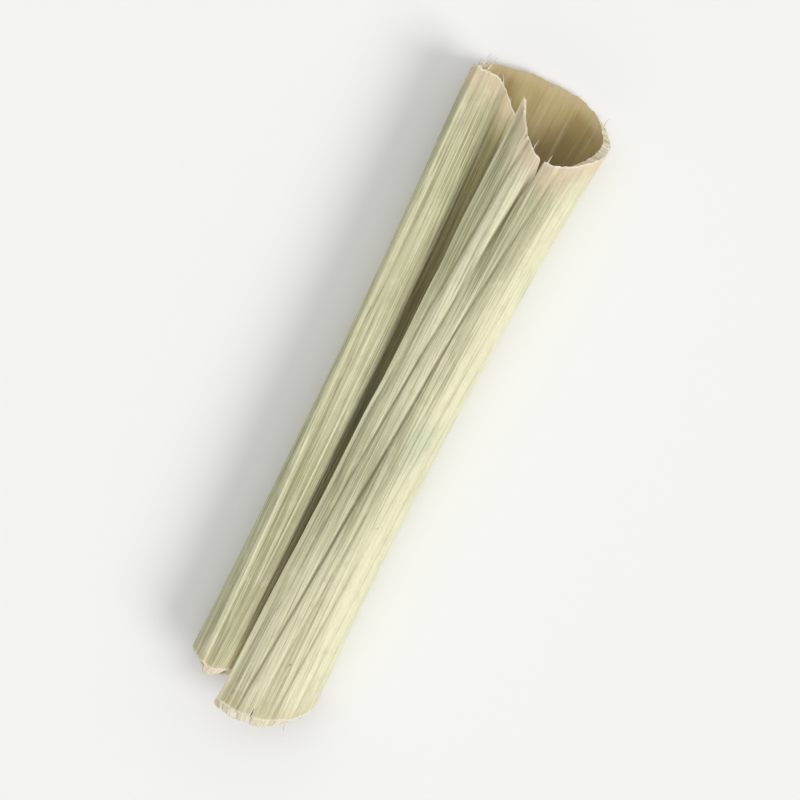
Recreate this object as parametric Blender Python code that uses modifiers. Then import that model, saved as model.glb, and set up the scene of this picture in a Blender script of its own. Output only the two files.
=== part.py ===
"""A cut length of dried lemongrass stalk: one leaf sheath, rolled up lengthwise into a hollow tube.

The sheath is a single curved wall. Seen from a cut end it runs from a tucked margin, over a narrow lobe,
along a flattened underside, up and over a wide lobe, to a free margin that ends in the groove between them.
The stalk lies along X with its open mouth at +X, and rests on z = 0. Sizes are in metres.
"""
import bpy
import bmesh

MM = 0.001

OBJECT_NAME = "lemongrass_stalk"
LENGTH = 21.0 * MM          # from the farthest point of one cut to the farthest point of the other
WALL = 0.26 * MM            # thickness of the sheath along its middle
MARGIN_SHARE = 0.4          # thickness of the two free margins, as a share of WALL
MARGIN_WIDTH = 0.16         # share of the way across the sheath over which a margin thins

ROWS = 16                   # steps along the stalk
COLUMNS = 54                # steps across the sheath, from margin to margin

# One line for each strand that runs along the sheath, in order from the tucked margin to the free one.
# far, middle, mouth: where its outer face lies at three stations, as (y, z) in mm.
# cuts: how far the strand stops short of each end, at the far cut and at the mouth, in mm.
STRANDS = (
    # far             middle           mouth             cuts
    ((0.20, 1.44), (-0.20, 0.98), (-0.30, 0.86), (1.50, 1.90)),    # tucked margin
    ((0.50, 1.48), (0.12, 0.98), (0.02, 0.86), (1.35, 1.70)),
    ((0.84, 1.60), (0.50, 1.04), (0.38, 0.88), (1.15, 1.45)),
    ((1.06, 1.74), (0.82, 1.20), (0.72, 0.96), (1.00, 1.15)),      # bottom of the groove
    ((1.28, 1.87), (0.96, 1.54), (0.96, 1.26), (0.88, 0.90)),
    ((1.52, 1.97), (1.16, 1.86), (1.18, 1.72), (0.82, 0.72)),      # narrow lobe's side of the slit
    ((1.74, 2.02), (1.58, 1.98), (1.58, 1.96), (0.80, 0.66)),
    ((1.98, 2.10), (2.02, 2.12), (2.00, 2.10), (0.86, 0.64)),      # narrow lobe's keel
    ((2.26, 1.88), (2.20, 1.98), (2.16, 1.96), (1.02, 0.64)),
    ((2.56, 1.30), (2.27, 1.30), (2.23, 1.26), (1.25, 0.60)),      # narrow lobe's outer side
    ((2.40, 0.36), (2.12, 0.34), (2.10, 0.32), (1.35, 0.45)),
    ((2.00, 0.00), (1.70, 0.00), (1.75, 0.00), (1.40, 0.25)),      # underside
    ((1.40, 0.00), (1.05, 0.00), (0.95, 0.00), (1.50, 0.05)),
    ((0.50, 0.00), (0.20, 0.00), (-0.10, 0.00), (1.60, 0.00)),
    ((-0.40, 0.00), (-0.65, 0.00), (-1.20, 0.00), (1.70, 0.05)),
    ((-1.10, 0.00), (-1.30, 0.00), (-1.90, 0.00), (1.70, 0.35)),
    ((-1.48, 0.34), (-1.72, 0.34), (-2.42, 0.34), (1.50, 0.80)),
    ((-1.60, 1.05), (-1.80, 1.15), (-2.60, 1.25), (1.15, 1.25)),   # wide lobe's outer side
    ((-1.38, 1.80), (-1.54, 2.00), (-2.30, 2.18), (0.72, 1.85)),
    ((-0.85, 2.18), (-0.96, 2.38), (-1.56, 2.66), (0.26, 2.40)),   # wide lobe's crest
    ((-0.18, 2.24), (-0.36, 2.42), (-0.80, 2.72), (0.03, 2.58)),
    ((0.42, 2.22), (0.18, 2.34), (-0.18, 2.54), (0.00, 2.05)),
    ((0.86, 2.12), (0.54, 2.18), (0.26, 2.24), (0.05, 1.36)),
    ((1.18, 1.96), (0.74, 2.06), (0.44, 1.98), (0.12, 0.92)),      # free margin
)

SHEATH_COLOUR = (0.56, 0.54, 0.33)
SHEATH_ROUGHNESS = 0.6


def clear_scene():
    for thing in list(bpy.data.objects):
        bpy.data.objects.remove(thing, do_unlink=True)


def make_collection(name):
    collection = bpy.data.collections.new(name)
    bpy.context.scene.collection.children.link(collection)
    return collection


def sheath_material():
    material = bpy.data.materials.new("dried_sheath")
    material.use_nodes = True
    shader = material.node_tree.nodes["Principled BSDF"]
    shader.inputs["Base Color"].default_value = (*SHEATH_COLOUR, 1.0)
    shader.inputs["Roughness"].default_value = SHEATH_ROUGHNESS
    shader.inputs["Metallic"].default_value = 0.0
    return material


def between_stations(far, middle, mouth, along):
    """The quadratic through three values at along = 0, 0.5 and 1."""
    return (far * (1 - along) * (1 - 2 * along)
            + middle * 4 * along * (1 - along)
            + mouth * along * (2 * along - 1))


def spline_weights(share):
    """The four weights of a uniform cubic B-spline at a share of the way through one span."""
    rest = 1 - share
    return (rest ** 3 / 6,
            (3 * share ** 3 - 6 * share ** 2 + 4) / 6,
            (3 * rest ** 3 - 6 * rest ** 2 + 4) / 6,
            share ** 3 / 6)


def across_sheath(values, across):
    """A smooth curve led by values, one a strand, at across = 0 (tucked margin) to 1 (free margin)."""
    last = len(values) - 1
    # One mirrored value past each end makes the curve start and stop on the outermost strands.
    padded = [2 * values[0] - values[1], *values, 2 * values[last] - values[last - 1]]
    place = across * last
    span = min(int(place), last - 1)
    weights = spline_weights(place - span)
    return sum(w * v for w, v in zip(weights, padded[span:span + 4]))


def outer_point(along, across):
    """A point on the sheath's outer face, in mm. X runs between the two cuts of that strand."""
    y_values = [between_stations(far[0], middle[0], mouth[0], along)
                for far, middle, mouth, cuts in STRANDS]
    z_values = [between_stations(far[1], middle[1], mouth[1], along)
                for far, middle, mouth, cuts in STRANDS]
    far_cut = across_sheath([strand[3][0] for strand in STRANDS], across)
    mouth_cut = across_sheath([strand[3][1] for strand in STRANDS], across)
    x = far_cut + (LENGTH / MM - far_cut - mouth_cut) * along
    return x, across_sheath(y_values, across), across_sheath(z_values, across)


def centred(points):
    """The same points in metres, with the origin under the middle of their box."""
    middle_x = (max(p[0] for p in points) + min(p[0] for p in points)) / 2
    middle_y = (max(p[1] for p in points) + min(p[1] for p in points)) / 2
    return [((x - middle_x) * MM, (y - middle_y) * MM, z * MM) for x, y, z in points]


def wall_share(across):
    """How thick the wall is there: 1 along the middle of the sheath, 0 at its margins."""
    from_margin = min(across, 1 - across) / MARGIN_WIDTH
    return min(1.0, from_margin)


def outer_face_mesh(name):
    """The sheath's outer face as one open sheet of quads, facing away from the hollow."""
    points = [outer_point(row / ROWS, column / COLUMNS)
              for row in range(ROWS + 1) for column in range(COLUMNS + 1)]
    sheet = bmesh.new()
    corners = [sheet.verts.new(p) for p in centred(points)]
    width = COLUMNS + 1
    for row in range(ROWS):
        for column in range(COLUMNS):
            start = row * width + column
            sheet.faces.new((corners[start], corners[start + width],
                             corners[start + width + 1], corners[start + 1]))
    mesh = bpy.data.meshes.new(name)
    sheet.to_mesh(mesh)
    sheet.free()
    return mesh


def rolled_sheath(collection):
    mesh = outer_face_mesh("rolled_sheath")
    mesh.shade_smooth()
    sheath = bpy.data.objects.new("rolled_sheath", mesh)
    collection.objects.link(sheath)
    thickness = sheath.vertex_groups.new(name="wall")
    for vertex in mesh.vertices:
        across = (vertex.index % (COLUMNS + 1)) / COLUMNS
        thickness.add([vertex.index], wall_share(across), "REPLACE")
    wall = sheath.modifiers.new("wall", "SOLIDIFY")
    wall.thickness = WALL
    wall.offset = -1.0
    wall.use_even_offset = True
    wall.vertex_group = thickness.name
    wall.thickness_vertex_group = MARGIN_SHARE
    mesh.materials.append(sheath_material())
    return sheath


def main():
    clear_scene()
    collection = make_collection(OBJECT_NAME)
    rolled_sheath(collection)


main()
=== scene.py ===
"""The looks of one cut length of dried lemongrass stalk, lying on a pale surface and seen from above.

The stalk is a single leaf sheath rolled up lengthwise. Its wall is rebuilt here in fine detail, in the space
of the CAD node: ribs and grooves along the grain, a dried surface that dips and waves, slanted cut ends with
vein cavities, splits and frayed fibres. Lengths in this script are in millimetres until a mesh is made.
"""

import math

import bpy
import numpy as np
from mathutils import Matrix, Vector


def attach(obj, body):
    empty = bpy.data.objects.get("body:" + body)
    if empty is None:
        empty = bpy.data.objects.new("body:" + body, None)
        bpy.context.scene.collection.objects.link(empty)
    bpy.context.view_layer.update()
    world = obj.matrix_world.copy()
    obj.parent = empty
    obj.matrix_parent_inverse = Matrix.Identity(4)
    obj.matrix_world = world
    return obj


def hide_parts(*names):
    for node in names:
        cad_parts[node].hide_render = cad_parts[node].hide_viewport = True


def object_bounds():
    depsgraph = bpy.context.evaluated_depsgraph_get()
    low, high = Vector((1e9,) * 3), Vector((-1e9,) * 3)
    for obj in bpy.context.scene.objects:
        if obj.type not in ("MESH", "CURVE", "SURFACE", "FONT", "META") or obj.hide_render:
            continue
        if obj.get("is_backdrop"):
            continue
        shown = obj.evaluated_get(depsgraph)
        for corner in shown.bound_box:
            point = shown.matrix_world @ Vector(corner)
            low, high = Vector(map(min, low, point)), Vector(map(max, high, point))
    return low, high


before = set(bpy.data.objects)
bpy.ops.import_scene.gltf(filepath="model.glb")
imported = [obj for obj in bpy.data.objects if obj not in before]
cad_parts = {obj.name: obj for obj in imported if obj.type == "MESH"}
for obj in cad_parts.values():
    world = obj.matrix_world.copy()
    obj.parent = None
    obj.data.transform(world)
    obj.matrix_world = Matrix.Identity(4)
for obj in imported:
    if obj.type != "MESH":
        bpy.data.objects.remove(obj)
cad_low, cad_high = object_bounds()

MM = 0.001
NODE = "rolled_sheath"
BODY = "root"

# ---------------------------------------------------------------- the sheath's driving dimensions

LENGTH = 21.0               # from the farthest point of one cut to the farthest point of the other
WALL = 0.26                 # thickness along the middle of the sheath
MARGIN_WALL = 0.10          # thickness at the two free margins
MARGIN_WIDTH = 1.2          # how far in from a margin the wall reaches its full thickness
RIB_SPACING = 0.50          # from groove to groove, on average

GROOVE_WIDTH = 0.050        # half width of a groove between two ribs
RIB_DRIFT = 1.20            # how far the ribs move away from the free margin from one cut to the other
SIDE_LINES = 48             # rib lines on each side of the main one
MAIN_LINE = 0.919           # the deepest groove, on the wide lobe, as a share of the way across
KEEL = 0.305                # the narrow lobe's raised outer rib, likewise
KEEL_WIDTH = 0.011          # likewise
KEEL_HEIGHT = 0.045
BRIGHT_RIB_HEIGHT = 0.022   # of the rib beside the main groove, towards the mouth

FAR_SLANT = 0.24            # how far the far cut leans out over its lining
MOUTH_SLANT = 0.10          # how far the lining is set back at the mouth
VEIN_PITCH = 0.8 * RIB_SPACING
DEEPEST_PIT = 0.18          # of a vein cavity in a cut face

# Splits run in from a cut: place across the sheath as a share, half width, and depth.
FAR_SPLITS = ((0.295, 0.045, 0.40), (0.925, 0.035, 0.28), (0.55, 0.045, 0.5), (0.70, 0.04, 0.25))
MOUTH_SPLITS = ((0.24, 0.045, 0.40), (0.905, 0.055, 0.60), (0.955, 0.04, 0.30), (0.76, 0.035, 0.25),
                (0.52, 0.035, 0.30), (0.42, 0.035, 0.2))

FIBRE_COUNT, FIBRE_STEPS, FIBRE_SIDES = 26, 7, 6
FIBRE_LENGTHS = (0.10, 0.42)
FIBRE_RADII = (0.016, 0.032)
SHORTEST_FIBRE = 0.08       # shorter ones are left out

COLUMNS = 560               # steps across the outer face, an even number
ROWS = 84                   # steps along the stalk
RIM_STEPS = 8               # steps through the wall, on cut ends and margins
END_CROWDING = 0.117        # how much closer together the rows are near the cuts
SHARP_EDGE = math.radians(48)
OUTER, INNER, CUT = 0, 1, 2     # the sheath's material slots

STALK_ANGLE = math.radians(65.2)     # of the stalk above the picture's horizontal
FIELD = 23.4 * MM                    # width of what the camera sees
LENS, SENSOR = 135.0, 36.0
FLOOR_HALF = 0.6                     # in metres
FLOOR_GAP = 0.00001                  # in metres, under the stalk
SKY_COLOUR, SKY_STRENGTH = (0.97, 0.985, 1.0, 1.0), 0.58

# One line for each strand that runs along the sheath, in order from the tucked margin to the free one.
# far, middle, mouth: where its outer face lies at three stations, as (y, z).
# cuts: how far the strand stops short of each end, at the far cut and at the mouth.
STRANDS = (
    # far             middle           mouth             cuts
    ((0.20, 1.44), (-0.20, 0.98), (-0.30, 0.86), (1.50, 1.90)),    # tucked margin
    ((0.50, 1.48), (0.12, 0.98), (0.02, 0.86), (1.35, 1.70)),
    ((0.84, 1.60), (0.50, 1.04), (0.38, 0.88), (1.15, 1.45)),
    ((1.06, 1.74), (0.82, 1.20), (0.72, 0.96), (1.00, 1.15)),      # bottom of the groove
    ((1.28, 1.87), (0.96, 1.54), (0.96, 1.26), (0.88, 0.90)),
    ((1.52, 1.97), (1.16, 1.86), (1.18, 1.72), (0.82, 0.72)),      # narrow lobe's side of the slit
    ((1.74, 2.02), (1.58, 1.98), (1.58, 1.96), (0.80, 0.66)),
    ((1.98, 2.10), (2.02, 2.12), (2.00, 2.10), (0.86, 0.64)),      # narrow lobe's keel
    ((2.26, 1.88), (2.20, 1.98), (2.16, 1.96), (1.02, 0.64)),
    ((2.56, 1.30), (2.27, 1.30), (2.23, 1.26), (1.25, 0.60)),      # narrow lobe's outer side
    ((2.40, 0.36), (2.12, 0.34), (2.10, 0.32), (1.35, 0.45)),
    ((2.00, 0.00), (1.70, 0.00), (1.75, 0.00), (1.40, 0.25)),      # underside
    ((1.40, 0.00), (1.05, 0.00), (0.95, 0.00), (1.50, 0.05)),
    ((0.50, 0.00), (0.20, 0.00), (-0.10, 0.00), (1.60, 0.00)),
    ((-0.40, 0.00), (-0.65, 0.00), (-1.20, 0.00), (1.70, 0.05)),
    ((-1.10, 0.00), (-1.30, 0.00), (-1.90, 0.00), (1.70, 0.35)),
    ((-1.48, 0.34), (-1.72, 0.34), (-2.42, 0.34), (1.50, 0.80)),
    ((-1.60, 1.05), (-1.80, 1.15), (-2.60, 1.25), (1.15, 1.25)),   # wide lobe's outer side
    ((-1.38, 1.80), (-1.54, 2.00), (-2.30, 2.18), (0.72, 1.85)),
    ((-0.85, 2.18), (-0.96, 2.38), (-1.56, 2.66), (0.26, 2.40)),   # wide lobe's crest
    ((-0.18, 2.24), (-0.36, 2.42), (-0.80, 2.72), (0.03, 2.58)),
    ((0.42, 2.22), (0.18, 2.34), (-0.18, 2.54), (0.00, 2.05)),
    ((0.86, 2.12), (0.54, 2.18), (0.26, 2.24), (0.05, 1.36)),
    ((1.18, 1.96), (0.74, 2.06), (0.44, 1.98), (0.12, 0.92)),      # free margin
)


# ---------------------------------------------------------------- smooth seeded noise

def smooth(t):
    return t * t * (3 - 2 * t)


def ramp(x, start, end):
    """0 before start, 1 after end, smooth between them; start may be larger than end."""
    return smooth(np.clip((np.asarray(x, float) - start) / (end - start), 0, 1))


def wave(x, spacing, seed):
    """Smooth noise from -1 to 1 along one line, with a new value each spacing."""
    values = np.random.default_rng(seed).uniform(-1, 1, 4096)
    place = np.asarray(x, float) / spacing + 64
    knot = np.floor(place).astype(int)
    share = smooth(place - knot)
    return values[knot % 4096] * (1 - share) + values[(knot + 1) % 4096] * share


def waves(x, y, x_spacing, y_spacing, seed):
    """Smooth noise from -1 to 1 over a sheet."""
    values = np.random.default_rng(seed).uniform(-1, 1, (256, 256))
    px, py = x / x_spacing + 64, y / y_spacing + 64
    kx, ky = np.floor(px).astype(int), np.floor(py).astype(int)
    sx, sy = smooth(px - kx), smooth(py - ky)
    corner = lambda i, j: values[(kx + i) % 256, (ky + j) % 256]
    near = corner(0, 0) * (1 - sx) + corner(1, 0) * sx
    far = corner(0, 1) * (1 - sx) + corner(1, 1) * sx
    return near * (1 - sy) + far * sy


# ---------------------------------------------------------------- the sheath's outer face

def strand_weights(across):
    """How much each strand leads the curve at each place across the sheath: a uniform cubic B-spline."""
    count = len(STRANDS)
    place = np.asarray(across) * (count - 1)
    span = np.minimum(place.astype(int), count - 2)
    t = place - span
    four = np.stack([(1 - t) ** 3, 3 * t ** 3 - 6 * t ** 2 + 4,
                     3 * (1 - t) ** 3 - 6 * (1 - t) ** 2 + 4, t ** 3], 1) / 6
    padded = np.zeros((len(t), count + 2))
    for step in range(4):
        padded[np.arange(len(t)), span + step] = four[:, step]
    weights = padded[:, 1:-1].copy()
    # The strand before the first is the second one mirrored in it, and likewise past the last.
    weights[:, 0] += 2 * padded[:, 0]
    weights[:, 1] -= padded[:, 0]
    weights[:, -1] += 2 * padded[:, -1]
    weights[:, -2] -= padded[:, -1]
    return weights


def section(along, weights):
    """(y, z) of the outer face at each row of along and each column of weights."""
    stations = np.array([strand[:3] for strand in STRANDS])
    led = np.einsum("cs,spk->cpk", weights, stations)
    far, middle, mouth = (1 - along) * (1 - 2 * along), 4 * along * (1 - along), along * (2 * along - 1)
    shares = np.stack([far, middle, mouth], 1)
    return np.einsum("rp,cpk->rck", shares, led)


def evenly_across(columns):
    """Places across the sheath that are evenly spaced along its middle section, and their distances."""
    fine = np.linspace(0, 1, 4001)
    outline = section(np.array([0.5]), strand_weights(fine))[0]
    distance = np.concatenate([[0], np.cumsum(np.linalg.norm(np.diff(outline, axis=0), axis=1))])
    steps = np.linspace(0, distance[-1], columns + 1)
    return np.interp(steps, distance, fine), steps


def rows_along(rows):
    """Places along the stalk, closer together near the cut ends."""
    even = np.linspace(0, 1, rows + 1)
    return even - END_CROWDING * np.sin(2 * math.pi * even)


def away_from_surface(points):
    """The unit normal at each point of a grid, away from the hollow."""
    lengthwise = np.gradient(points, axis=0)
    crosswise = np.gradient(points, axis=1)
    normal = np.cross(lengthwise, crosswise)
    return normal / np.linalg.norm(normal, axis=2, keepdims=True)


class Sheath:
    """Every measure of the sheath that the mesh and its attributes need, on one grid of rows and columns."""

    def __init__(self):
        self.across, self.arc = evenly_across(COLUMNS)
        self.width = self.arc[-1]
        self.along = rows_along(ROWS)
        self.from_margin = np.minimum(self.arc, self.width - self.arc)
        weights = strand_weights(self.across)
        self.ends = weights @ np.array([strand[3] for strand in STRANDS])
        body = self.body_points(weights)
        self.normal = away_from_surface(body)
        self.x = body[..., 0].copy()
        body[..., 0] = self.between_cuts()
        relief = self.relief()
        self.outer = body + self.normal * relief[..., None]
        self.inner = body + self.normal * (0.35 * relief - self.dips - self.wall_thickness())[..., None]
        self.slant_cuts()
        for face in (self.outer, self.inner):
            face[..., 2] = np.maximum(face[..., 2], 0.0)

    def body_points(self, weights):
        """The smooth outer face, with its strands straight between the cuts."""
        points = np.empty((len(self.along), len(self.arc), 3))
        points[..., 1:] = section(self.along, weights)
        far, mouth = self.ends[:, 0], self.ends[:, 1]
        points[..., 0] = far + (LENGTH - far - mouth) * self.along[:, None]
        self.wave_margin(points)
        return points

    def wave_margin(self, points):
        """The free margin is thin and dry: it waves, and near the far cut it lies on the narrow lobe."""
        margin = ramp(self.across, 0.90, 1.0)[None, :]
        x = self.along * LENGTH
        loose = ramp(self.along, 0.04, 0.25)
        points[..., 1] += ((0.030 * wave(x, 2.4, 5) + 0.012 * wave(x, 0.8, 6)) * loose)[:, None] * margin
        points[..., 2] += ((0.035 * wave(x, 3.1, 7) + 0.010 * wave(x, 0.7, 8)) * loose)[:, None] * margin

    def between_cuts(self):
        """X at each row and column, with each strand's own ragged ends."""
        places = []
        for end, seed, splits in ((0, 11, FAR_SPLITS), (1, 29, MOUTH_SPLITS)):
            short = self.ragged(seed, splits)
            fades = np.maximum(0.032, 2.2 * short / LENGTH)
            distance = self.along if end == 0 else 1 - self.along
            places.append(short[None, :] * np.exp(-distance[:, None] / fades[None, :]))
        return self.x + places[0] - places[1]

    def ragged(self, seed, splits):
        """How far the cut falls short of its smooth line at each column: never less than nothing."""
        arc = self.arc
        line = 0.09 * (1 + wave(arc, 1.5, seed)) / 2
        line += 0.07 * (1 + wave(arc, VEIN_PITCH, seed + 1)) / 2
        line += 0.045 * (1 + wave(arc, 0.07, seed + 2)) / 2
        for place, half_width, deep in splits:
            line += deep * np.maximum(0, 1 - np.abs(arc - place * self.width) / half_width) ** 1.3
        return line

    def relief(self):
        """How far the outer face stands out from its smooth shape: grooves, rib crowns and dips."""
        arc, x = np.meshgrid(self.arc, self.along * LENGTH)
        random = np.random.default_rng(3)
        jitter = random.uniform(-0.10, 0.10, 2 * SIDE_LINES + 1)
        jitter[SIDE_LINES - 1:SIDE_LINES + 3] = 0
        lines = (np.arange(-SIDE_LINES, SIDE_LINES + 1) + jitter) * RIB_SPACING
        wander = 0.030 * waves(x, arc, 5.0, 1.1, 31) + 0.008 * waves(x, arc, 1.4, 0.5, 32)
        oblique = RIB_DRIFT * (self.along[:, None] - 0.5) * ramp(self.across, 0.60, 0.85)
        place = arc - np.interp(MAIN_LINE, self.across, self.arc) + wander + oblique
        after = np.searchsorted(lines, place)
        low, high = lines[after - 1], lines[after]
        share = (place - low) / (high - low)
        near_low = share < 0.5
        nearest = np.where(near_low, after - 1, after)
        distance = np.where(near_low, place - low, high - place)
        own = random.uniform(0.3, 1.0, len(lines))
        own[SIDE_LINES - 1:SIDE_LINES + 3] = (0.62, 1.0, 0.78, 0.62)
        fades = np.clip(0.78 + 0.50 * waves(x, nearest * 1.0, 3.2, 1.0, 37), 0.08, 1.2)
        deep, crown = self.rib_sizes()
        self.groove = np.exp(-(distance / GROOVE_WIDTH) ** 1.5) * own[nearest] * fades
        self.tone = 0.5 + 0.5 * np.clip(1.2 * waves(x, after * 1.0, 4.5, 1.0, 39), -1, 1)
        self.dips = 0.040 * (0.5 + 0.5 * waves(x, arc, 3.8, 1.5, 41))
        fine = 0.013 * waves(x, arc, 2.4, 0.13, 43) + 0.007 * waves(x, arc, 1.2, 0.07, 44)
        crowns = crown * (1 - (2 * share - 1) ** 2)
        bright_rib = (after == SIDE_LINES + 1) * ramp(self.along, 0.45, 0.75)[:, None]
        swell = (0.75 + 0.25 * wave(self.along * LENGTH, 2.0, 45))[:, None]
        keel = np.exp(-((self.across - KEEL) / KEEL_WIDTH) ** 2) * swell
        # The pale mark is partly the keel's and this rib's own paler colour, partly a painted highlight
        # along ridges that catch the key light.
        self.pale = np.maximum(keel, bright_rib * (1 - (2 * share - 1) ** 4))
        crowns += KEEL_HEIGHT * keel + BRIGHT_RIB_HEIGHT * bright_rib * (1 - (2 * share - 1) ** 2)
        return crowns - deep * self.groove + fine * (0.4 + crown / 0.03) - self.dips

    def rib_sizes(self):
        """(depth of the grooves, height of the crowns between them) at each column."""
        a = self.across
        ribbed = ramp(a, 0.80, 0.86) * ramp(a, 1.0, 0.985)
        flank = ramp(a, 0.64, 0.70) * ramp(a, 0.86, 0.80)
        below = ramp(a, 0.38, 0.42) * ramp(a, 0.70, 0.64)
        narrow = ramp(a, 0.20, 0.25) * ramp(a, 0.40, 0.35)
        deep = 0.010 + 0.048 * ribbed + 0.006 * flank + 0.028 * below + 0.018 * narrow
        crown = 0.004 + 0.020 * ribbed + 0.004 * flank + 0.012 * below + 0.008 * narrow
        return deep, crown

    def wall_thickness(self):
        """The wall's thickness at each column, with a slight unevenness."""
        full = ramp(self.from_margin, -0.25 * MARGIN_WIDTH, MARGIN_WIDTH)
        uneven = 1 + 0.08 * wave(self.arc, 0.8, 51)
        return ((MARGIN_WALL + (WALL - MARGIN_WALL) * full) * uneven)[None, :]

    def slant_cuts(self):
        """Cuts lean: at the far end they face up and out, and at the mouth the lining is set back."""
        up = np.maximum(self.normal[..., 2], 0)
        near_far = np.exp(-self.along / 0.02)[:, None]
        near_mouth = np.exp(-(1 - self.along) / 0.02)[:, None]
        self.outer[..., 0] += near_far * FAR_SLANT * up
        self.inner[..., 0] -= near_mouth * MOUTH_SLANT * up


# ---------------------------------------------------------------- turning the sheath into a mesh

class MeshParts:
    """Vertices, faces, UVs and point attributes, gathered region by region."""

    def __init__(self):
        self.points, self.faces, self.uvs, self.slots = [], [], [], []
        names = ("across_mm", "along_mm", "groove", "tone", "pale", "pit", "far_mm", "mouth_mm")
        self.marks = {name: [] for name in names}
        self.count = 0

    def add_points(self, points, **marks):
        """Adds an array of points and returns their numbers, in the same shape."""
        shape = points.shape[:-1]
        numbers = np.arange(self.count, self.count + math.prod(shape)).reshape(shape)
        self.points.append(points.reshape(-1, 3))
        for name, held in self.marks.items():
            held.append(np.broadcast_to(marks.get(name, 0.0), shape).reshape(-1))
        self.count += math.prod(shape)
        return numbers

    def add_grid(self, numbers, box, slot, flip=False):
        """Quads over a grid of point numbers, laid out in a box (u0, v0, u1, v1) of the UV map."""
        rows, columns = numbers.shape
        u = np.linspace(box[0], box[2], columns)
        v = np.linspace(box[1], box[3], rows)
        uv = np.stack(np.broadcast_arrays(u[None, :], v[:, None]), -1)
        corners = [(slice(None, -1), slice(None, -1)), (slice(1, None), slice(None, -1)),
                   (slice(1, None), slice(1, None)), (slice(None, -1), slice(1, None))]
        corners = corners[::-1] if flip else corners
        self.faces.extend(np.stack([numbers[c] for c in corners], -1).reshape(-1, 4).tolist())
        self.uvs.extend(np.stack([uv[c] for c in corners], -2).reshape(-1, 2).tolist())
        self.slots.extend([slot] * ((rows - 1) * (columns - 1)))

    def add_fan_strip(self, fine, coarse, box, slot, flip=False):
        """Triangles between a line of points and one with half as many steps."""
        u_fine = np.linspace(box[0], box[2], len(fine))
        u_coarse = np.linspace(box[0], box[2], len(coarse))
        for i in range(len(coarse) - 1):
            a, b, c = 2 * i, 2 * i + 1, 2 * i + 2
            trios = [((fine[a], u_fine[a], box[1]), (coarse[i], u_coarse[i], box[3]),
                      (fine[b], u_fine[b], box[1])),
                     ((fine[b], u_fine[b], box[1]), (coarse[i], u_coarse[i], box[3]),
                      (coarse[i + 1], u_coarse[i + 1], box[3])),
                     ((fine[b], u_fine[b], box[1]), (coarse[i + 1], u_coarse[i + 1], box[3]),
                      (fine[c], u_fine[c], box[1]))]
            for trio in trios:
                trio = trio[::-1] if flip else trio
                self.faces.append([int(p[0]) for p in trio])
                self.uvs.extend([[p[1], p[2]] for p in trio])
                self.slots.append(slot)

    def mesh(self, name, offset):
        points = np.clip((np.concatenate(self.points) + offset) * MM, tuple(cad_low), tuple(cad_high))
        mesh = bpy.data.meshes.new(name)
        mesh.from_pydata(points.tolist(), [], self.faces)
        mesh.polygons.foreach_set("material_index", np.array(self.slots, np.int32))
        for mark, held in self.marks.items():
            attribute = mesh.attributes.new(mark, "FLOAT", "POINT")
            attribute.data.foreach_set("value", np.concatenate(held).astype(np.float32))
        layer = mesh.uv_layers.new(name="OFBake")
        layer.uv.foreach_set("vector", np.array(self.uvs, np.float32).ravel())
        mesh.shade_smooth()
        mesh.set_sharp_from_angle(angle=SHARP_EDGE)
        mesh.update()
        return mesh


def margin_points(outer, inner, outward):
    """Points that round a margin from its outer to its inner face, bulging outward, without the two ends."""
    turn = np.linspace(0, math.pi, RIM_STEPS + 1)[1:-1]
    middle, half = (outer + inner) / 2, (outer - inner) / 2
    bulge = outward * np.linalg.norm(half, axis=-1, keepdims=True)
    return np.stack([middle + half * math.cos(t) + 0.8 * bulge * math.sin(t) for t in turn], 1)


def off_the_edge(points, first):
    """The unit direction that runs off the sheet at its first or last column."""
    step = points[:, 0] - points[:, 2] if first else points[:, -1] - points[:, -3]
    step = step.copy()
    step[:, 0] = 0
    return step / np.linalg.norm(step, axis=1, keepdims=True)


def cavity_depth(sheath, seed):
    """How deep the vein cavities are at each column and step through the wall. Some veins have none."""
    arc = sheath.arc[:, None]
    through = (np.arange(1, RIM_STEPS) / RIM_STEPS)[None, :]
    number = np.floor(arc / VEIN_PITCH).astype(int)
    random = np.random.default_rng(seed)
    size = random.uniform(0.30, 1.0, 96)[number]
    shift = random.uniform(-0.12, 0.12, 96)[number]
    deep = np.maximum(0, random.uniform(-0.12, DEEPEST_PIT, 96))[number]
    sideways = (arc / VEIN_PITCH - number - 0.5 + shift) / (0.34 * size)
    middle = 0.52 + 0.10 * random.uniform(-1, 1, 96)[number]
    depthwise = (through - middle) / (0.32 * size)
    inside = 1 - (sideways ** 2 + depthwise ** 2)
    return deep * ramp(inside, 0.0, 0.7) * ramp(sheath.from_margin[:, None], 0.4, 0.9)


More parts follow.
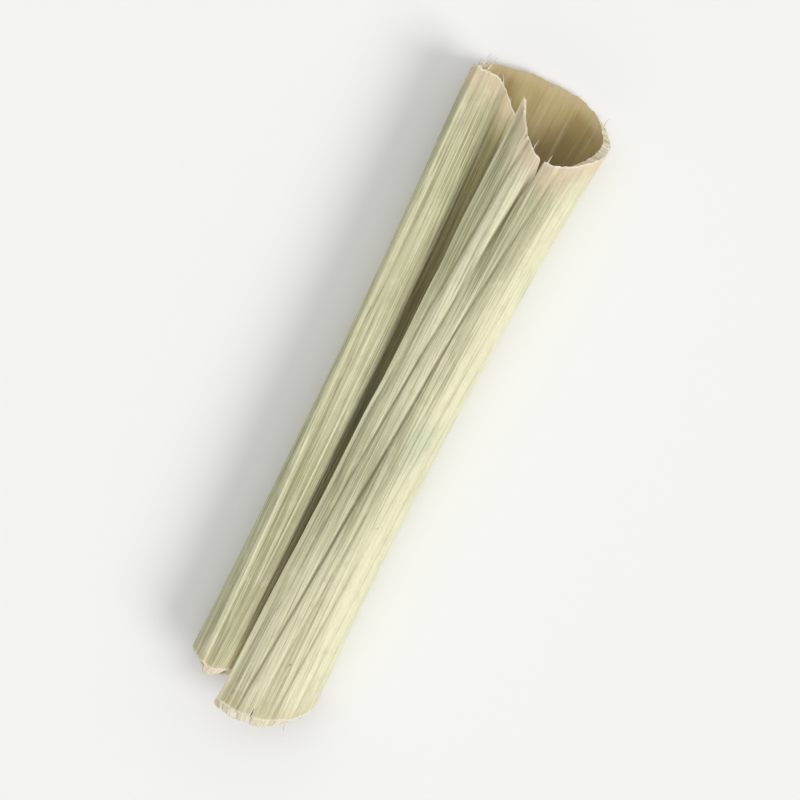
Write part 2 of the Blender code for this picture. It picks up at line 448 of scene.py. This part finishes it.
def add_cut(parts, sheath, end, outer_numbers, inner_numbers, margins, box, seed):
    """The cut face at one end of the sheath: end is 0 for the far cut and -1 for the mouth."""
    outward = -1.0 if end == 0 else 1.0
    outer, inner = sheath.outer[end], sheath.inner[end]
    through = np.arange(1, RIM_STEPS) / RIM_STEPS
    face = outer[:, None] * (1 - through)[None, :, None] + inner[:, None] * through[None, :, None]
    pits = cavity_depth(sheath, seed)
    arc = np.broadcast_to(sheath.arc[:, None], pits.shape)
    rough = 0.02 * waves(arc, np.broadcast_to(through, pits.shape), 0.05, 0.17, seed + 5)
    face[..., 0] -= outward * (pits - rough)
    mouth = 0.0 if end else LENGTH
    numbers = np.empty((len(outer), RIM_STEPS), int)
    numbers[1:-1, 1:] = parts.add_points(
        face[1:-1], across_mm=arc[1:-1], along_mm=sheath.outer[end][1:-1, None, 0] - pits[1:-1] * outward,
        pit=pits[1:-1] / DEEPEST_PIT, far_mm=LENGTH - mouth, mouth_mm=mouth)
    numbers[:, 0] = outer_numbers[end]
    numbers[0, 1:] = margins[0][end]
    numbers[-1, 1:] = margins[1][end]
    split = box[1] + (box[3] - box[1]) * (RIM_STEPS - 1) / RIM_STEPS
    flip = end == 0
    parts.add_grid(numbers.T, (box[0], box[1], box[2], split), CUT, flip)
    parts.add_fan_strip(numbers[:, -1], inner_numbers[end], (box[0], split, box[2], box[3]), CUT, flip)


def sheath_mesh():
    """The sheath's mesh, its measures, and the shift that puts it in the CAD part's box."""
    sheath = Sheath()
    parts = MeshParts()
    arc = np.broadcast_to(sheath.arc[None, :], sheath.x.shape)
    from_far = sheath.outer[..., 0] - sheath.outer[:1, :, 0]
    from_mouth = sheath.outer[-1:, :, 0] - sheath.outer[..., 0]
    marks = {"across_mm": arc, "along_mm": sheath.x, "far_mm": from_far, "mouth_mm": from_mouth}
    marks["tone"] = sheath.tone
    outer = parts.add_points(sheath.outer, groove=sheath.groove, pale=sheath.pale, **marks)
    halved = {name: held[:, ::2] for name, held in marks.items()}
    inner = parts.add_points(sheath.inner[:, ::2], groove=sheath.groove[:, ::2], **halved)
    margins = []
    for column, first in ((0, True), (-1, False)):
        outward = off_the_edge(sheath.outer, first)
        points = margin_points(sheath.outer[:, column], sheath.inner[:, column], outward)
        margins.append(parts.add_points(points, **{k: v[:, column, None] for k, v in marks.items()}))
    parts.add_grid(outer, (0.03, 0.01, 0.97, 0.59), OUTER)
    parts.add_grid(inner, (0.03, 0.61, 0.97, 0.89), INNER, flip=True)
    tucked = np.concatenate([inner[:, :1], margins[0][:, ::-1], outer[:, :1]], 1)
    free = np.concatenate([outer[:, -1:], margins[1], inner[:, -1:]], 1)
    parts.add_grid(tucked, (0.004, 0.01, 0.024, 0.59), OUTER)
    parts.add_grid(free, (0.976, 0.01, 0.996, 0.59), OUTER)
    add_cut(parts, sheath, 0, outer, inner, margins, (0.03, 0.90, 0.97, 0.945), 61)
    add_cut(parts, sheath, -1, outer, inner, margins, (0.03, 0.95, 0.97, 0.995), 67)
    offset = offset_into_box(np.concatenate([sheath.outer.reshape(-1, 3), sheath.inner.reshape(-1, 3)]))
    return parts.mesh("sheath", offset), sheath, offset


def offset_into_box(points):
    """The shift, in mm, that centres the points under the CAD part's box."""
    low, high = points.min(0), points.max(0)
    target = (np.array(cad_low) + np.array(cad_high)) / 2 / MM
    middle = (low + high) / 2
    return np.array([target[0] - middle[0], target[1] - middle[1], 0.0])


# ---------------------------------------------------------------- materials

class Nodes:
    """Short calls for building one material's node tree."""

    def __init__(self, name):
        self.material = bpy.data.materials.new(name)
        self.material.use_nodes = True
        self.tree = self.material.node_tree
        self.shader = self.tree.nodes["Principled BSDF"]

    def link(self, value, socket):
        if isinstance(value, (int, float)):
            socket.default_value = value
        elif isinstance(value, tuple):
            opaque = len(value) == 3 and len(socket.default_value) == 4
            socket.default_value = (*value, 1.0) if opaque else value
        else:
            self.tree.links.new(value, socket)

    def mark(self, name):
        node = self.tree.nodes.new("ShaderNodeAttribute")
        node.attribute_name = name
        return node.outputs["Fac"]

    def place(self, scale):
        """The point in the piece's own space, with a pattern's features a millimetre as its scale."""
        coordinates = self.tree.nodes.new("ShaderNodeTexCoord")
        stretch = self.tree.nodes.new("ShaderNodeVectorMath")
        stretch.operation = "MULTIPLY"
        stretch.inputs[1].default_value = tuple(s / MM for s in scale)
        self.tree.links.new(coordinates.outputs["Object"], stretch.inputs[0])
        return stretch.outputs[0]

    def math(self, operation, a, b=0.0):
        node = self.tree.nodes.new("ShaderNodeMath")
        node.operation = operation
        self.link(a, node.inputs[0])
        self.link(b, node.inputs[1])
        return node.outputs[0]

    def vector(self, x, y, z=0.0):
        node = self.tree.nodes.new("ShaderNodeCombineXYZ")
        for value, socket in zip((x, y, z), node.inputs):
            self.link(value, socket)
        return node.outputs[0]

    def noise(self, place, detail=2.0, rough=0.5, distortion=0.0):
        """Fractal noise with one feature to each unit of place, from 0 to 1."""
        node = self.tree.nodes.new("ShaderNodeTexNoise")
        node.inputs["Scale"].default_value = 1.0
        node.inputs["Detail"].default_value = detail
        node.inputs["Roughness"].default_value = rough
        node.inputs["Distortion"].default_value = distortion
        self.link(place, node.inputs["Vector"])
        return node.outputs[0]

    def spread(self, value, low, high, to_low=0.0, to_high=1.0):
        """Maps low..high to to_low..to_high, smoothly and clamped."""
        node = self.tree.nodes.new("ShaderNodeMapRange")
        node.interpolation_type = "SMOOTHSTEP"
        for key, number in (("Value", value), ("From Min", low), ("From Max", high),
                            ("To Min", to_low), ("To Max", to_high)):
            self.link(number, node.inputs[key])
        return node.outputs[0]

    def mix(self, factor, a, b):
        node = self.tree.nodes.new("ShaderNodeMix")
        node.data_type = "RGBA"
        node.clamp_factor = True
        self.link(factor, node.inputs["Factor"])
        for value, key in ((a, "A"), (b, "B")):
            socket = [s for s in node.inputs if s.name == key and s.type == "RGBA"][0]
            self.link(value, socket)
        return [s for s in node.outputs if s.type == "RGBA"][0]

    def bump(self, height, strength, distance):
        node = self.tree.nodes.new("ShaderNodeBump")
        node.inputs["Strength"].default_value = strength
        node.inputs["Distance"].default_value = distance
        self.link(height, node.inputs["Height"])
        return node.outputs[0]


def srgb(red, green, blue):
    """Linear colour from 0 to 255 screen values."""
    return tuple(((c / 255 + 0.055) / 1.055) ** 2.4 for c in (red, green, blue))


CREAM = srgb(239, 235, 201)
PALE_GREEN = srgb(214, 210, 172)
GREY_GREEN = srgb(192, 191, 152)
BLUE_GREEN = srgb(178, 188, 156)
NARROW_GREEN = srgb(172, 172, 132)
# A lighter yellow used as painted light inside the shaded slit.
SLIT_PAINTED_LIGHT = srgb(222, 212, 144)
OLIVE = srgb(146, 142, 101)
DARK_OLIVE = srgb(100, 94, 56)
TAN = srgb(204, 184, 144)
PINK_TAN = srgb(222, 202, 172)
BROWN = srgb(140, 112, 68)
INNER_TAN = srgb(192, 172, 120)
INNER_BROWN = srgb(158, 136, 78)
CUT_WHITE = srgb(248, 243, 228)
CUT_TAN = srgb(210, 192, 152)
PIT_BROWN_AND_SHADE = srgb(132, 112, 74)


def grain(nodes, along_scale, across_scale, shift=0.0):
    """A place that stretches a pattern along the grain. The scales are features a millimetre."""
    x = nodes.math("MULTIPLY", nodes.mark("along_mm"), along_scale)
    y = nodes.math("MULTIPLY", nodes.mark("across_mm"), across_scale)
    return nodes.vector(nodes.math("ADD", x, shift), y, shift)


def outer_material(width):
    """Dried epidermis: long pale and green streaks, dark grooves that are partly painted shade, tan cut
    ends, pale papery margins; also painted shade on the ribs towards the mouth, painted light in the slit,
    and partly painted light on the flank and the ridges.
    """
    n = Nodes("dried_sheath_outside")
    across, groove, tone = n.mark("across_mm"), n.mark("groove"), n.mark("tone")
    share = n.math("DIVIDE", across, width)

    flank = n.math("MULTIPLY", n.spread(share, 0.64, 0.72), n.spread(share, 0.90, 0.83))
    broad = n.noise(grain(n, 0.16, 0.55, 3.0), 3.0, 0.55)
    base = n.mix(n.spread(broad, 0.32, 0.68), GREY_GREEN, PALE_GREEN)
    # The wide lobe's flank, which faces the key light, turns cream: partly its own paler colour, partly
    # painted light.
    base = n.mix(n.math("MULTIPLY", flank, n.spread(broad, 0.2, 0.62, 0.60, 0.90)), base, CREAM)
    narrow = n.math("MULTIPLY", n.spread(share, 0.11, 0.15), n.spread(share, 0.40, 0.34))
    base = n.mix(n.math("MULTIPLY", narrow, 0.62), base, NARROW_GREEN)
    # Painted light: the tucked part seen in the slit is lifted to a lighter yellow, standing in for light
    # that reaches into the shaded slit.
    base = n.mix(n.spread(share, 0.128, 0.096, 0.0, 0.70), base, SLIT_PAINTED_LIGHT)
    patches = n.noise(grain(n, 0.22, 0.6, 11.0), 2.0, 0.5)
    base = n.mix(n.spread(patches, 0.56, 0.72, 0.0, 0.6), base, BLUE_GREEN)

    ribbed = n.math("MULTIPLY", n.spread(share, 0.79, 0.86), n.spread(share, 1.0, 0.985))
    # Painted shade: the ribbed zone turns olive towards the mouth, where its slope leans away from the key
    # light.
    mouth_shade = n.math("MULTIPLY", ribbed, n.spread(n.mark("mouth_mm"), 9.0, 2.5, 0.0, 0.28))
    base = n.mix(mouth_shade, base, OLIVE)
    swing = n.math("ADD", n.math("MULTIPLY", ribbed, 0.20), 0.15)
    base = n.mix(n.math("MULTIPLY", n.spread(tone, 0.50, 0.92), swing), base, CREAM)
    base = n.mix(n.math("MULTIPLY", n.spread(tone, 0.50, 0.08), swing), base, OLIVE)
    streaks = n.noise(grain(n, 0.13, 5.5, 5.0), 3.0, 0.60)
    base = n.mix(n.spread(streaks, 0.50, 0.74, 0.0, 0.50), base, CREAM)
    below = n.math("MULTIPLY", n.spread(share, 0.38, 0.44), n.spread(share, 0.70, 0.64))
    quiet = n.math("ADD", n.math("MULTIPLY", flank, 0.6), n.math("MULTIPLY", below, 0.45))
    calm = n.math("SUBTRACT", 1.0, quiet)
    base = n.mix(n.math("MULTIPLY", n.spread(streaks, 0.47, 0.28, 0.0, 0.38), calm), base, OLIVE)
    hair = n.noise(grain(n, 0.22, 17.0, 9.0), 2.0, 0.6)
    base = n.mix(n.spread(hair, 0.51, 0.64, 0.0, 0.50), base, CREAM)
    base = n.mix(n.math("MULTIPLY", n.spread(hair, 0.48, 0.34, 0.0, 0.50), calm), base, OLIVE)
    # Pale ridges: partly paler rib colour, partly painted highlight where the ridges catch the key light.
    base = n.mix(n.math("MULTIPLY", n.mark("pale"), 0.9), base, CREAM)
    fibres = n.noise(grain(n, 0.055, 3.6, 13.0), 2.0, 0.65)
    off_line = n.math("ABSOLUTE", n.math("SUBTRACT", fibres, 0.5))
    base = n.mix(n.math("MULTIPLY", n.spread(off_line, 0.016, 0.004, 0.0, 0.36), calm), base, DARK_OLIVE)
    off_line = n.math("ABSOLUTE", n.math("SUBTRACT", fibres, 0.58))
    base = n.mix(n.spread(off_line, 0.022, 0.004, 0.0, 0.5), base, CREAM)

    strength = n.math("MULTIPLY", n.math("ADD", n.math("MULTIPLY", ribbed, 0.30), 0.38), calm)
    # The grooves darken towards dark olive: partly their own darker tissue, partly painted shade in the
    # groove recesses.
    line = n.spread(groove, 0.12, 0.62)
    base = n.mix(n.math("MULTIPLY", line, strength), base, DARK_OLIVE)

    ragged = n.noise(grain(n, 1.1, 4.0, 17.0), 3.0, 0.6)
    reach = n.math("ADD", n.mark("mouth_mm"), n.math("MULTIPLY", ragged, -2.0))
    base = n.mix(n.spread(reach, 0.40, -0.90, 0.0, 0.75), base, PINK_TAN)
    reach = n.math("ADD", n.mark("far_mm"), n.math("MULTIPLY", ragged, -1.2))
    base = n.mix(n.spread(reach, 0.20, -0.60, 0.0, 0.40), base, CUT_TAN)
    ends = n.math("MINIMUM", n.mark("far_mm"), n.mark("mouth_mm"))
    base = n.mix(n.spread(ends, 0.09, 0.0, 0.0, 0.7), base, CUT_WHITE)

    mottle = n.noise(grain(n, 1.6, 2.6, 61.0), 3.0, 0.6)
    base = n.mix(n.spread(mottle, 0.50, 0.30, 0.0, 0.16), base, OLIVE)
    base = n.mix(n.spread(mottle, 0.54, 0.72, 0.0, 0.22), base, CREAM)
    stains = n.noise(grain(n, 0.55, 1.5, 23.0), 4.0, 0.6, 0.6)
    base = n.mix(n.spread(stains, 0.62, 0.80, 0.0, 0.5), base, TAN)
    specks = n.noise(grain(n, 2.6, 6.5, 29.0), 2.0, 0.5)
    base = n.mix(n.spread(specks, 0.72, 0.80, 0.0, 0.7), base, BROWN)

    edge = n.math("MINIMUM", across, n.math("SUBTRACT", width, across))
    base = n.mix(n.spread(edge, 0.14, 0.02, 0.0, 0.75), base, CREAM)

    n.link(base, n.shader.inputs["Base Color"])
    rough = n.math("ADD", n.math("MULTIPLY", streaks, 0.25), 0.42)
    rough = n.math("ADD", rough, n.math("MULTIPLY", line, 0.15))
    n.link(rough, n.shader.inputs["Roughness"])
    fine = n.noise(grain(n, 0.35, 14.0, 31.0), 3.0, 0.65)
    cells = n.noise(grain(n, 6.0, 24.0, 37.0), 2.0, 0.6)
    height = n.math("ADD", n.math("MULTIPLY", fine, 0.75), n.math("MULTIPLY", cells, 0.25))
    n.link(n.bump(height, 1.0, 0.00006), n.shader.inputs["Normal"])
    n.shader.inputs["Specular IOR Level"].default_value = 0.42
    n.shader.inputs["Subsurface Weight"].default_value = 0.08
    n.shader.inputs["Subsurface Radius"].default_value = (0.00040, 0.00036, 0.00018)
    n.shader.inputs["Subsurface Scale"].default_value = 1.0
    return n.material


def inner_material():
    """The smooth lining of the sheath: tan to brown, with faint veins."""
    n = Nodes("dried_sheath_inside")
    broad = n.noise(grain(n, 0.3, 0.7, 41.0), 3.0, 0.5)
    base = n.mix(n.spread(broad, 0.35, 0.68), INNER_BROWN, INNER_TAN)
    streaks = n.noise(grain(n, 0.3, 6.0, 43.0), 3.0, 0.6)
    base = n.mix(n.spread(streaks, 0.52, 0.72, 0.0, 0.5), base, CUT_TAN)
    base = n.mix(n.spread(streaks, 0.46, 0.30, 0.0, 0.4), base, BROWN)
    veins = n.spread(n.mark("groove"), 0.2, 0.8, 0.0, 0.28)
    base = n.mix(veins, base, BROWN)
    ends = n.math("MINIMUM", n.mark("far_mm"), n.mark("mouth_mm"))
    base = n.mix(n.spread(ends, 0.55, 0.0, 0.0, 0.6), base, CUT_TAN)
    n.link(base, n.shader.inputs["Base Color"])
    n.link(n.spread(streaks, 0.3, 0.7, 0.42, 0.62), n.shader.inputs["Roughness"])
    fine = n.noise(grain(n, 0.8, 12.0, 47.0), 3.0, 0.6)
    n.link(n.bump(fine, 0.5, 0.00003), n.shader.inputs["Normal"])
    n.shader.inputs["Specular IOR Level"].default_value = 0.45
    return n.material


def cut_material():
    """The cut through the wall: pale fibrous walls round dark vein cavities, whose brown, stronger with
    depth, is partly their own colour and partly painted shade.
    """
    n = Nodes("dried_sheath_cut")
    fibres = n.noise(grain(n, 9.0, 11.0, 53.0), 4.0, 0.65)
    base = n.mix(n.spread(fibres, 0.38, 0.66), CUT_TAN, CUT_WHITE)
    broad = n.noise(grain(n, 1.0, 1.2, 59.0), 2.0, 0.5)
    base = n.mix(n.spread(broad, 0.50, 0.72, 0.0, 0.6), base, PINK_TAN)
    # Vein cavities darken with depth: partly their own brown tissue, partly painted shade inside each
    # cavity.
    base = n.mix(n.spread(n.mark("pit"), 0.12, 0.75, 0.0, 0.92), base, PIT_BROWN_AND_SHADE)
    n.link(base, n.shader.inputs["Base Color"])
    n.link(n.spread(fibres, 0.3, 0.7, 0.85, 0.65), n.shader.inputs["Roughness"])
    n.link(n.bump(fibres, 0.6, 0.00003), n.shader.inputs["Normal"])
    n.shader.inputs["Specular IOR Level"].default_value = 0.3
    return n.material


def fibre_material():
    """Torn fibres: pale, dry and dull."""
    n = Nodes("torn_fibre")
    tint = n.noise(n.place((1.0, 3.0, 3.0)), 3.0, 0.6)
    base = n.mix(n.spread(tint, 0.35, 0.65), CUT_TAN, CUT_WHITE)
    n.link(base, n.shader.inputs["Base Color"])
    n.link(n.spread(tint, 0.3, 0.7, 0.75, 0.6), n.shader.inputs["Roughness"])
    n.link(n.bump(n.noise(n.place((3.0, 40.0, 40.0)), 2.0, 0.5), 0.4, 0.00001), n.shader.inputs["Normal"])
    n.shader.inputs["Specular IOR Level"].default_value = 0.35
    return n.material


def floor_material():
    n = Nodes("pale_floor")
    n.shader.inputs["Base Color"].default_value = (0.92, 0.92, 0.91, 1.0)
    n.shader.inputs["Roughness"].default_value = 0.85
    n.shader.inputs["Specular IOR Level"].default_value = 0.2
    return n.material


# ---------------------------------------------------------------- pieces

def add_piece(name, mesh, materials):
    piece = bpy.data.objects.new(name, mesh)
    bpy.context.scene.collection.objects.link(piece)
    for material in materials:
        mesh.materials.append(material)
    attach(piece, BODY)
    return piece


def make_sheath():
    mesh, sheath, offset = sheath_mesh()
    piece = add_piece("dried_sheath", mesh, (outer_material(sheath.width), inner_material(), cut_material()))
    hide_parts(NODE)
    return sheath, offset


def fibre_path(sheath, random, number, offset):
    """(points, radius, length) of one fibre that stands out of a cut, from inside the wall to its tip."""
    at_mouth = random.random() < 0.6
    end, outward = (-1, 1.0) if at_mouth else (0, -1.0)
    column = int((0.03 + 0.94 * (number + random.random()) / FIBRE_COUNT) * COLUMNS)
    depth = random.uniform(0.25, 0.75)
    outer, inner = sheath.outer[end, column], sheath.inner[end, column]
    root = outer * (1 - depth) + inner * depth + offset
    room = (cad_high.x if at_mouth else -cad_low.x) / MM - outward * root[0]
    length = min(random.uniform(*FIBRE_LENGTHS), room - 0.02)
    radius = random.uniform(*FIBRE_RADII)
    lean = np.array([0.0, *random.uniform(-0.35, 0.35, 2)])
    share = np.linspace(-0.35, 1, FIBRE_STEPS)[:, None]
    points = root + share * length * np.array([outward, 0, 0]) + np.maximum(share, 0) ** 2 * length * lean
    points[:, 2] = np.clip(points[:, 2], radius, cad_high.z / MM - radius)
    return points, radius, length


def make_fibres(sheath, offset):
    """Short fibres that the blade tore instead of cutting: closed, tapered tubes rooted in the wall."""
    random = np.random.default_rng(83)
    vertices, faces = [], []
    turn = np.arange(FIBRE_SIDES) * 2 * math.pi / FIBRE_SIDES
    for number in range(FIBRE_COUNT):
        points, radius, length = fibre_path(sheath, random, number, offset)
        if length < SHORTEST_FIBRE:
            continue
        start = len(vertices)
        for step, point in enumerate(points):
            across = radius * (1 - 0.8 * step / (FIBRE_STEPS - 1))
            for t in turn:
                vertices.append((point + (0, across * math.cos(t), across * math.sin(t))) * MM)
        side = 1 if points[-1, 0] > points[0, 0] else -1
        for step in range(FIBRE_STEPS - 1):
            for i in range(FIBRE_SIDES):
                a = start + step * FIBRE_SIDES + i
                b = start + step * FIBRE_SIDES + (i + 1) % FIBRE_SIDES
                quad = (a, b, b + FIBRE_SIDES, a + FIBRE_SIDES)
                faces.append(quad if side > 0 else quad[::-1])
        first = [start + i for i in range(FIBRE_SIDES)]
        last = [start + (FIBRE_STEPS - 1) * FIBRE_SIDES + i for i in range(FIBRE_SIDES)]
        faces.append(first[::-1] if side > 0 else first)
        faces.append(last if side > 0 else last[::-1])
    mesh = bpy.data.meshes.new("cut_fibres")
    mesh.from_pydata(vertices, [], faces)
    mesh.shade_smooth()
    add_piece("cut_fibres", mesh, (fibre_material(),))


# ---------------------------------------------------------------- floor, light and camera

def make_floor():
    mesh = bpy.data.meshes.new("floor")
    half = FLOOR_HALF
    corners = [(-half, -half, 0), (half, -half, 0), (half, half, 0), (-half, half, 0)]
    mesh.from_pydata(corners, [], [(0, 1, 2, 3)])
    floor = bpy.data.objects.new("floor", mesh)
    floor.location.z = cad_low.z - FLOOR_GAP
    mesh.materials.append(floor_material())
    bpy.context.scene.collection.objects.link(floor)
    floor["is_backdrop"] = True


def add_sun(name, direction, strength, soft_deg, colour):
    """A soft light that shines from a direction."""
    lamp = bpy.data.lights.new(name, "SUN")
    lamp.energy = strength
    lamp.angle = math.radians(soft_deg)
    lamp.color = colour
    light = bpy.data.objects.new(name, lamp)
    light.rotation_euler = Vector(direction).to_track_quat("Z", "Y").to_euler()
    bpy.context.scene.collection.objects.link(light)


def make_lights():
    world = bpy.data.worlds.new("studio")
    world.use_nodes = True
    background = world.node_tree.nodes["Background"]
    background.inputs["Color"].default_value = SKY_COLOUR
    background.inputs["Strength"].default_value = SKY_STRENGTH
    bpy.context.scene.world = world
    add_sun("key", (-0.25, -0.90, 0.85), 1.45, 30, (1.0, 0.985, 0.95))
    add_sun("top", (0.0, 0.15, 1.0), 0.35, 60, (1.0, 1.0, 1.0))


def make_camera():
    data = bpy.data.cameras.new("camera")
    data.lens, data.sensor_width = LENS, SENSOR
    camera = bpy.data.objects.new("camera", data)
    distance = FIELD / 2 / math.tan(math.atan(SENSOR / 2 / LENS))
    middle = (cad_low + cad_high) / 2
    camera.location = (middle.x, middle.y, distance + middle.z)
    camera.rotation_euler = (0, 0, -STALK_ANGLE)
    data.clip_start, data.clip_end = distance / 100, distance * 100
    bpy.context.scene.collection.objects.link(camera)
    bpy.context.scene.camera = camera


def write_sizes():
    boxes = {"cad": [list(cad_low), list(cad_high)], "visual": [list(corner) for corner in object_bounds()]}


sheath, offset = make_sheath()
make_fibres(sheath, offset)
make_floor()
make_lights()
make_camera()
bpy.context.scene.view_settings.view_transform = "Standard"
write_sizes()
